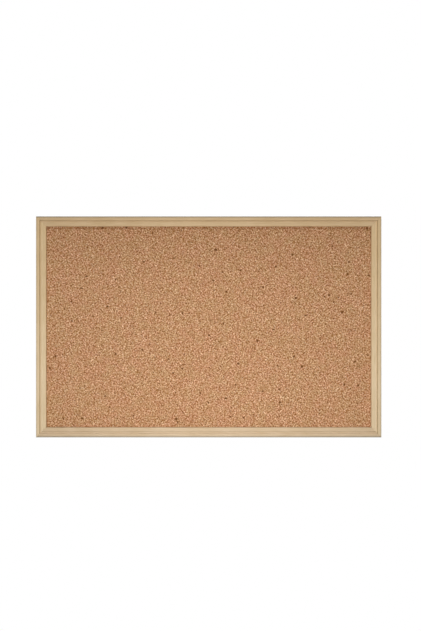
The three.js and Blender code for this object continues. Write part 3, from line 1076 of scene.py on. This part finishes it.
def hanger_strap(side):
    """One strap in its place, with its screw hole."""
    node = f"hanger_strap_{side}"
    low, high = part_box(node)
    screw_low, screw_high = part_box(f"hanger_screw_{side}")
    screw_middle = (screw_low + screw_high) / 2
    strap = strap_shape(high.x - low.x, hinges[side].z - low.z)
    move(strap, hinges[side])
    piece = place_piece(f"folded_strap_{side}", strap, steel_finish, "board", "zinc_steel", node)
    drill = bmesh.new()
    sizes = {"radius1": SHANK_HOLE, "radius2": SHANK_HOLE, "depth": DRILL_LENGTH}
    bmesh.ops.create_cone(drill, cap_ends=True, segments=DRILL_SIDES, **sizes)
    turn_and_move(drill, QUARTER, "X", (screw_middle.x, 0, screw_middle.z))
    cut(piece, drill)
    return piece


straps = [hanger_strap(side) for side in hinges]
print("straps:", face_counts(straps), "faces")

# %% [markdown]
# ## Hanging rings
#
# Each ring is a D of round wire: a bar in the strap's eye, small corners, short sides and a round crown.
# The wire's two ends meet inside the eye. At rest the ring leans on the rail. It rides on its own body, so
# that it swings.

# %% Rings
RING_CORNER = 1.5 * MM
RING_SIDE = 1.5 * MM
BAR_PAST_STRAP = 0.25 * MM
BUTT_GAP = 0.3 * MM
WIRE_SIDES = 20
CORNER_STEPS = 10
CROWN_STEPS = 40


def ring_shape(strap_width):
    """(the bent wire, upright, its bar on the hinge line at the origin; the ring's height)."""
    half_bar = strap_width / 2 + BAR_PAST_STRAP
    half_run = half_bar - BUTT_GAP / 2
    side_top = RING_CORNER + RING_SIDE
    back = (0, -1, 0)
    wire = bmesh.new()
    bmesh.ops.create_circle(wire, cap_ends=True, segments=WIRE_SIDES, radius=WIRE)
    turn_and_move(wire, QUARTER, "Y", (BUTT_GAP / 2, 0, 0))
    end = run_on(wire, wire.faces[:][0], (half_run, 0, 0))
    end = bend(wire, end, (half_bar, 0, RING_CORNER), back, 90, CORNER_STEPS)
    end = run_on(wire, end, (0, 0, RING_SIDE))
    end = bend(wire, end, (0, 0, side_top), back, 180, CROWN_STEPS)
    end = run_on(wire, end, (0, 0, -RING_SIDE))
    end = bend(wire, end, (-half_bar, 0, RING_CORNER), back, 90, CORNER_STEPS)
    run_on(wire, end, (half_run, 0, 0))
    return wire, side_top + half_bar + RING_CORNER


def hanging_ring(side):
    """One ring on its hinge line, leaning as far as its exact node does."""
    node = f"hanger_ring_{side}"
    low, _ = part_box(node)
    strap_low, strap_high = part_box(f"hanger_strap_{side}")
    wire, height = ring_shape(strap_high.x - strap_low.x)
    lean = math.asin((hinges[side].y - WIRE - low.y) / height)
    turn_and_move(wire, lean, "X", hinges[side])
    return place_piece(f"wire_ring_{side}", wire, steel_finish, f"{side}_ring", "zinc_steel", node)


rings = [hanging_ring(side) for side in hinges]
print("rings:", face_counts(rings), "faces")

# %% [markdown]
# ## Screws
#
# A small pan-head screw is a turned shape, so half its outline is spun round its axis, and the rim of the
# head is rounded. The thread is a small triangle that turns and climbs at the same time.

# %% The turned blank and the thread
HEAD_HEIGHT = 1.6 * MM
HEAD_ROUND = 0.9 * MM
SHANK = 1.2 * MM
TIP = 3 * MM
THREAD_PITCH = 1.1 * MM
THREAD_DEPTH = 0.25 * MM
THREAD_TURNS = 7
TURNED_SIDES = 48
AXIS = {"cent": (0, 0, 0), "axis": (0, 1, 0)}


def turned_blank(head_radius, length):
    """The plain screw: its axis along Y, the head's underside at zero and the tip at minus length."""
    shank = [(0, -length), (SHANK, TIP - length), (SHANK, 0)]
    head = [(head_radius, 0), (head_radius, HEAD_HEIGHT), (0, HEAD_HEIGHT)]
    blank = bmesh.new()
    points = [blank.verts.new((radius, y, 0)) for radius, y in shank + head]
    outline = [*points, *(blank.edges.new(pair) for pair in zip(points, points[1:]))]
    turn = {"dvec": (0, 0, 0), "angle": 2 * math.pi, "steps": TURNED_SIDES, "use_merge": True}
    bmesh.ops.spin(blank, geom=outline, **AXIS, **turn)
    bmesh.ops.remove_doubles(blank, verts=blank.verts, dist=WELD)
    on_top = [v for v in blank.verts if abs(v.co.y - HEAD_HEIGHT) < WELD]
    rim = [v for v in on_top if math.hypot(v.co.x, v.co.z) > head_radius - WELD]
    round_edges(blank, [e for e in blank.edges if all(v in rim for v in e.verts)], HEAD_ROUND)
    return blank


def screw_thread(length):
    """A triangle on the shank that turns and climbs."""
    root = SHANK - THREAD_DEPTH / 4
    half = THREAD_PITCH / 4
    corners = [(root, -half), (SHANK + THREAD_DEPTH, 0), (root, half)]
    thread = bmesh.new()
    tooth = thread.faces.new([thread.verts.new((radius, TIP - length + y, 0)) for radius, y in corners])
    steps = THREAD_TURNS * TURNED_SIDES // 2
    climb = {"dvec": (0, THREAD_TURNS * THREAD_PITCH / steps, 0), "angle": THREAD_TURNS * 2 * math.pi}
    bmesh.ops.spin(thread, geom=[tooth], **AXIS, **climb, steps=steps)
    return thread


print(f"thread of {THREAD_TURNS} turns, {THREAD_PITCH / MM} mm apart")

# %% [markdown]
# The cross recess is pressed in with two tapered bars, one after the other, because a cut goes wrong where
# the tool's own parts overlap. The thread is grown on last, and then the cuts' slivers are evened out as on
# the rails.

# %% Screws
RECESS_REACH = 1.6 * MM
RECESS_WIDTH = 0.7 * MM
RECESS_DEPTH = 0.9 * MM
RECESS_TAPER_SHARE = 0.7


def recess_bar(across, along):
    """One bar of the cross, narrower at the bottom."""
    bar = bmesh.new()
    bmesh.ops.create_cube(bar, size=1)
    bottom = [v for v in bar.verts if v.co.y < 0]
    bmesh.ops.scale(bar, verts=bar.verts, vec=(across, RECESS_DEPTH * 2, along))
    bmesh.ops.scale(bar, verts=bottom, vec=(RECESS_TAPER_SHARE, 1, RECESS_TAPER_SHARE))
    return bar


def hanger_screw(side):
    """One screw through its strap."""
    node = f"hanger_screw_{side}"
    low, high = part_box(node)
    seat = high.y - HEAD_HEIGHT
    middle = (low + high) / 2
    blank = turned_blank((high.x - low.x) / 2, seat - low.y)
    thread = screw_thread(seat - low.y)
    for shape in (blank, thread):
        move(shape, (middle.x, seat, middle.z))
    piece = place_piece(f"pan_head_screw_{side}", blank, steel_finish, "board", "zinc_steel", node)
    for across, along in ((RECESS_WIDTH, RECESS_REACH * 2), (RECESS_REACH * 2, RECESS_WIDTH)):
        bar = recess_bar(across, along)
        move(bar, (middle.x, high.y, middle.z))
        cut(piece, bar)
    cut(piece, thread, operation="UNION")
    even_out(piece)
    return piece


screws = [hanger_screw(side) for side in hinges]
print("screws:", face_counts(screws), "faces")

# %% [markdown]
# ## Compare the pieces with the exact nodes
#
# A piece stands in for its node, so the two have to be the same thing. Their volumes tell: a lost screw
# head, a wall turned inside out or a channel of another width shows at once. A closed shape also has two
# faces at every edge.


# %% Volumes and open edges
def measure(mesh):
    """(the volume inside a mesh, how many of its edges don't have two faces)."""
    shape = welded(mesh)
    measured = shape.calc_volume(), sum(not e.is_manifold for e in shape.edges)
    shape.free()
    return measured


for name, nodes in stands_for.items():
    volume, open_edges = measure(bpy.data.objects[name].data)
    exact = sum(measure(frame["nodes"][node].data)[0] for node in nodes)
    print(f"{name}: {100 * (volume / exact - 1):+.1f} % of its node's volume, {open_edges} open edges")
